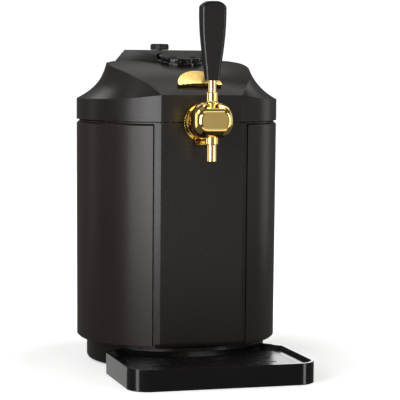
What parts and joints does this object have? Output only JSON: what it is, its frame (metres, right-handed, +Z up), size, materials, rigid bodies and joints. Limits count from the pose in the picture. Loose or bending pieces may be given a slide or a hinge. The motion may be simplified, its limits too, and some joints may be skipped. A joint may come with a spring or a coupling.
{
  "type": "mini keg beer dispenser",
  "caption": "Tabletop dispenser with a round cooled barrel for a small keg, a hinged domed lid, a lever tap on a flat front column and a loose drip tray.",
  "frame": {"origin": "middle of the footprint, on the worktop, under the middle of the overall box", "axes": "+Z up, -Y towards the tap and drip tray, +X to the right seen from behind the dispenser's back; barrel axis is upright at y = 0.0373 m"},
  "size_m": [0.26, 0.3906, 0.461],
  "materials": {
    "housing": "satin charcoal",
    "side_panel": "moulded, satin metallic charcoal lacquer",
    "dark_plastic": "fine grained",
    "gloss_black": "polished",
    "window": "polished",
    "rubber": "matt",
    "gasket": "soft grey",
    "well_metal": "brushed",
    "foam": "foamed",
    "white_plastic": "moulded",
    "ceramic": "fired",
    "heat_sink_metal": "extruded",
    "steel": "turned",
    "screw_steel": "zinc plated",
    "gold_tap": "polished, gold plated",
    "brass": "turned",
    "grip_gold": "gold anodised",
    "handle": "lacquered",
    "board": "glass fibre board",
    "hose": "food hose",
    "seal": "soft"
  },
  "bodies": {
    "base": {"plinth": "dark_plastic", "rubber_feet": "rubber", "plinth_screws": "screw_steel", "housing_shell": "housing", "side_panel_right": "side_panel", "side_panel_left": "side_panel", "hinge_pins": "steel", "keg_liner": "well_metal", "foam_jacket": "foam", "well_collar": "white_plastic", "cold_plate": "heat_sink_metal", "cooling_cell": "ceramic", "heat_sink": "heat_sink_metal", "fan_frame": "dark_plastic", "fan_screws": "screw_steel", "rear_cover": "dark_plastic", "rear_screws": "screw_steel", "power_board": "board", "power_socket": "dark_plastic", "switch_frame": "dark_plastic", "tap_washer": "rubber", "tap_flange": "gold_tap", "tap_shank": "steel", "shank_nut": "brass", "tap_body": "gold_tap", "tap_spout": "gold_tap", "lever_pin": "steel", "line_elbow": "brass", "beer_line": "hose", "line_connector": "white_plastic"},
    "lid": {"lid_shell": "housing", "lid_pan": "white_plastic", "lid_screws": "screw_steel", "lid_gasket": "gasket", "lid_foam": "foam", "lid_grip": "grip_gold", "console_cover": "dark_plastic", "display_pod": "gloss_black", "display_window": "window", "display_board": "board", "regulator_body": "brass", "gas_cartridge": "steel", "cartridge_holder": "heat_sink_metal"},
    "knob": {"pressure_knob": "dark_plastic"},
    "cool_key": {"cooler_button": "gloss_black"},
    "warm_key": {"warmer_button": "gloss_black"},
    "fan": {"fan_rotor": "dark_plastic"},
    "rocker": {"power_rocker": "gloss_black"},
    "lever": {"tap_lever": "gold_tap", "tap_handle": "handle"},
    "valve": {"tap_valve": "steel", "valve_seal": "seal"},
    "tray": {"drip_tray": "dark_plastic"},
    "grid": {"drip_grid": "dark_plastic"}
  },
  "joints": [
    {"name": "lid_hinge", "type": "hinge", "parent": "base", "child": "lid", "pos_m": [0, 0.1743, 0.304], "axis": [-1, 0, 0], "range_deg": [0, 75]},
    {"name": "tap_lever_pivot", "type": "hinge", "parent": "base", "child": "lever", "pos_m": [0, -0.1232, 0.3165], "axis": [1, 0, 0], "range_deg": [0, 30]},
    {"name": "valve_slide", "type": "slide", "parent": "base", "child": "valve", "axis": [0, 1, 0], "range_m": [0, 0.0021]},
    {"name": "pressure_knob_turn", "type": "hinge", "parent": "lid", "child": "knob", "pos_m": [-0.0085, 0.0933, 0.4025], "axis": [0, 0, -1], "range_deg": [0, 270]},
    {"name": "cool_key_press", "type": "slide", "parent": "lid", "child": "cool_key", "axis": [0, 0.1736, -0.9848], "range_m": [0, 0.0008], "stiffness_N_per_m": 800, "springref_m": -0.0005},
    {"name": "warm_key_press", "type": "slide", "parent": "lid", "child": "warm_key", "axis": [0, 0.1736, -0.9848], "range_m": [0, 0.0008], "stiffness_N_per_m": 800, "springref_m": -0.0005},
    {"name": "power_rocker_tilt", "type": "hinge", "parent": "base", "child": "rocker", "pos_m": [-0.04, 0.1903, 0.062], "axis": [1, 0, 0], "range_deg": [0, 18]},
    {"name": "fan_spin", "type": "hinge", "parent": "base", "child": "fan", "pos_m": [0, 0.1858, 0.165], "axis": [0, 1, 0], "continuous": true},
    {"name": "drip_tray_slide", "type": "slide", "parent": "base", "child": "tray", "axis": [0, -1, 0], "range_m": [0, 0.15]},
    {"name": "drip_grid_lift", "type": "slide", "parent": "tray", "child": "grid", "axis": [0, 0, 1], "range_m": [0, 0.06]}
  ],
  "couplings": [
    {"joint": "valve_slide", "follows": "tap_lever_pivot", "m_per_rad": 0.0039}
  ]
}
